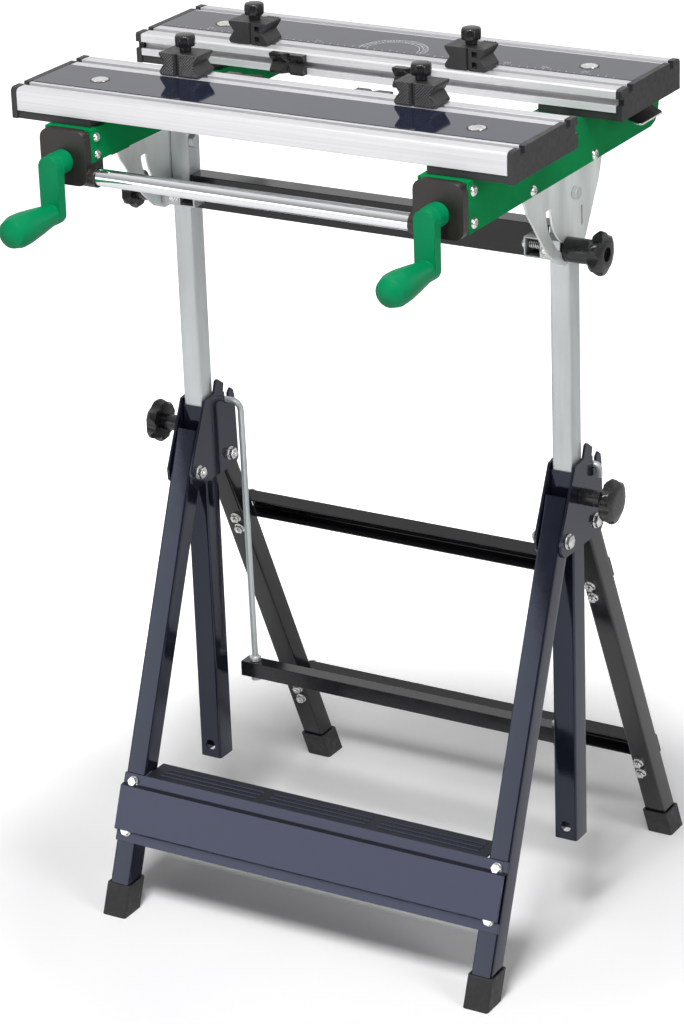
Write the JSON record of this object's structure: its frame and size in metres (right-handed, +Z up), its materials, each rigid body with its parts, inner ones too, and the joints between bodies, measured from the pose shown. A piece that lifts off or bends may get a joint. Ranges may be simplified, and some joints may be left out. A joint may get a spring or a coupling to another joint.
{
  "type": "folding workbench",
  "caption": "Folding workbench with a tilting, height-adjustable table of slotted aluminium jaws, cranked screws, bench dogs and folding leg frames.",
  "frame": {"origin": "on the floor, under the middle of the bounding box", "axes": "+X along the jaws to the right as seen from the cranks, +Y from the cranks to the back, +Z up"},
  "size_m": [0.645, 0.6706, 1.0989],
  "materials": {
    "dark_paint": "gloss",
    "green_paint": "gloss",
    "green_plastic": "satin",
    "zinc": "galvanised",
    "chrome": "polished",
    "aluminium": "satin",
    "panel": "gloss",
    "black_plastic": "matte",
    "boot_rubber": "matte"
  },
  "bodies": {
    "stand": {"post_right": "dark_paint", "post_left": "dark_paint", "front_leg_bolt_right": "zinc", "front_leg_bolt_left": "zinc", "rear_leg_bolt_right": "zinc", "rear_leg_bolt_left": "zinc"},
    "front_legs": {"front_leg_right": "dark_paint", "front_leg_left": "dark_paint", "front_boot_right": "boot_rubber", "front_boot_left": "boot_rubber", "front_step": "dark_paint"},
    "rear_legs": {"rear_leg_right": "dark_paint", "rear_leg_left": "dark_paint", "rear_boot_right": "boot_rubber", "rear_boot_left": "boot_rubber", "upper_crossbar": "dark_paint", "lower_crossbar": "dark_paint"},
    "hook": {"hook_rod_right": "zinc", "hook_rod_left": "zinc", "hook_bar": "dark_paint"},
    "columns": {"column_right": "zinc", "column_left": "zinc", "column_crossbar": "dark_paint", "tilt_pin_right": "zinc", "tilt_pin_left": "zinc"},
    "table": {"rail_right": "green_paint", "rail_left": "green_paint", "tilt_plate_right": "zinc", "tilt_plate_left": "zinc", "end_block_right": "black_plastic", "end_block_left": "black_plastic", "cross_tube": "chrome", "rear_jaw": "aluminium", "rear_panel": "panel", "rear_jaw_end_right": "black_plastic", "rear_jaw_end_left": "black_plastic"},
    "front_jaw_slide": {"front_jaw": "aluminium", "front_panel": "panel", "front_jaw_end_right": "black_plastic", "front_jaw_end_left": "black_plastic"},
    "height_knob_right": {"height_knob_right": "black_plastic"},
    "tilt_knob_right": {"tilt_knob_right": "black_plastic"},
    "crank_right": {"crank_right": "green_plastic", "spindle_right": "zinc"},
    "height_knob_left": {"height_knob_left": "black_plastic"},
    "tilt_knob_left": {"tilt_knob_left": "black_plastic"},
    "crank_left": {"crank_left": "green_plastic", "spindle_left": "zinc"},
    "front_dog_right": {"front_dog_right": "black_plastic"},
    "front_dog_knob_right": {"front_dog_knob_right": "black_plastic"},
    "front_clip_right": {"front_clip_right": "black_plastic"},
    "front_dog_left": {"front_dog_left": "black_plastic"},
    "front_dog_knob_left": {"front_dog_knob_left": "black_plastic"},
    "front_clip_left": {"front_clip_left": "black_plastic"},
    "rear_dog_right": {"rear_dog_right": "black_plastic"},
    "rear_dog_knob_right": {"rear_dog_knob_right": "black_plastic"},
    "rear_clip_right": {"rear_clip_right": "black_plastic"},
    "rear_dog_left": {"rear_dog_left": "black_plastic"},
    "rear_dog_knob_left": {"rear_dog_knob_left": "black_plastic"},
    "rear_clip_left": {"rear_clip_left": "black_plastic"}
  },
  "joints": [
    {"name": "front_legs_fold", "type": "hinge", "parent": "stand", "child": "front_legs", "pos_m": [0, 0.01528, 0.518], "axis": [1, 0, 0], "range_deg": [0, 20]},
    {"name": "rear_legs_fold", "type": "hinge", "parent": "stand", "child": "rear_legs", "pos_m": [0, 0.08728, 0.518], "axis": [1, 0, 0], "range_deg": [-23, 0]},
    {"name": "hook_lift", "type": "slide", "parent": "stand", "child": "hook", "axis": [0, 0, 1], "range_m": [0, 0.014]},
    {"name": "column_lift", "type": "slide", "parent": "stand", "child": "columns", "axis": [0, 0, 1], "range_m": [-0.2, 0.04]},
    {"name": "table_tilt", "type": "hinge", "parent": "columns", "child": "table", "pos_m": [0, 0.04428, 0.933], "axis": [1, 0, 0], "range_deg": [0, 65]},
    {"name": "height_knob_right_turn", "type": "hinge", "parent": "stand", "child": "height_knob_right", "pos_m": [0.3, 0.05028, 0.562], "axis": [1, 0, 0], "continuous": true},
    {"name": "tilt_knob_right_turn", "type": "hinge", "parent": "columns", "child": "tilt_knob_right", "pos_m": [0.3, 0.02528, 0.87199], "axis": [1, 0, 0], "continuous": true},
    {"name": "crank_right_turn", "type": "hinge", "parent": "table", "child": "crank_right", "pos_m": [0.24145, -0.23972, 0.981], "axis": [0, 1, 0], "range_deg": [0, 5040]},
    {"name": "height_knob_left_turn", "type": "hinge", "parent": "stand", "child": "height_knob_left", "pos_m": [-0.3, 0.05028, 0.562], "axis": [1, 0, 0], "continuous": true},
    {"name": "tilt_knob_left_turn", "type": "hinge", "parent": "columns", "child": "tilt_knob_left", "pos_m": [-0.3, 0.02528, 0.87199], "axis": [1, 0, 0], "continuous": true},
    {"name": "crank_left_turn", "type": "hinge", "parent": "table", "child": "crank_left", "pos_m": [-0.24145, -0.23972, 0.981], "axis": [0, 1, 0], "range_deg": [0, 5040]},
    {"name": "front_jaw_travel", "type": "slide", "parent": "table", "child": "front_jaw_slide", "axis": [0, 1, 0], "range_m": [0, 0.084]},
    {"name": "front_dog_right_slide", "type": "slide", "parent": "front_jaw_slide", "child": "front_dog_right", "axis": [1, 0, 0], "range_m": [-0.1, 0.1]},
    {"name": "front_dog_knob_right_turn", "type": "hinge", "parent": "front_dog_right", "child": "front_dog_knob_right", "pos_m": [0.142, -0.07172, 1.08], "axis": [0, 0, 1], "continuous": true},
    {"name": "front_clip_right_slide", "type": "slide", "parent": "front_jaw_slide", "child": "front_clip_right", "axis": [1, 0, 0], "range_m": [-0.04, 0.06]},
    {"name": "front_dog_left_slide", "type": "slide", "parent": "front_jaw_slide", "child": "front_dog_left", "axis": [1, 0, 0], "range_m": [-0.1, 0.1]},
    {"name": "front_dog_knob_left_turn", "type": "hinge", "parent": "front_dog_left", "child": "front_dog_knob_left", "pos_m": [-0.166, -0.07172, 1.08], "axis": [0, 0, 1], "continuous": true},
    {"name": "front_clip_left_slide", "type": "slide", "parent": "front_jaw_slide", "child": "front_clip_left", "axis": [1, 0, 0], "range_m": [-0.06, 0.04]},
    {"name": "rear_dog_right_slide", "type": "slide", "parent": "table", "child": "rear_dog_right", "axis": [1, 0, 0], "range_m": [-0.1, 0.1]},
    {"name": "rear_dog_knob_right_turn", "type": "hinge", "parent": "rear_dog_right", "child": "rear_dog_knob_right", "pos_m": [0.1215, 0.08228, 1.08], "axis": [0, 0, 1], "continuous": true},
    {"name": "rear_clip_right_slide", "type": "slide", "parent": "table", "child": "rear_clip_right", "axis": [1, 0, 0], "range_m": [-0.04, 0.06]},
    {"name": "rear_dog_left_slide", "type": "slide", "parent": "table", "child": "rear_dog_left", "axis": [1, 0, 0], "range_m": [-0.1, 0.1]},
    {"name": "rear_dog_knob_left_turn", "type": "hinge", "parent": "rear_dog_left", "child": "rear_dog_knob_left", "pos_m": [-0.168, 0.08228, 1.08], "axis": [0, 0, 1], "continuous": true},
    {"name": "rear_clip_left_slide", "type": "slide", "parent": "table", "child": "rear_clip_left", "axis": [1, 0, 0], "range_m": [-0.06, 0.04]}
  ],
  "couplings": [
    {"joint": "crank_right_turn", "follows": "front_jaw_travel", "rad_per_m": 1047.2},
    {"joint": "crank_left_turn", "follows": "front_jaw_travel", "rad_per_m": 1047.2}
  ]
}
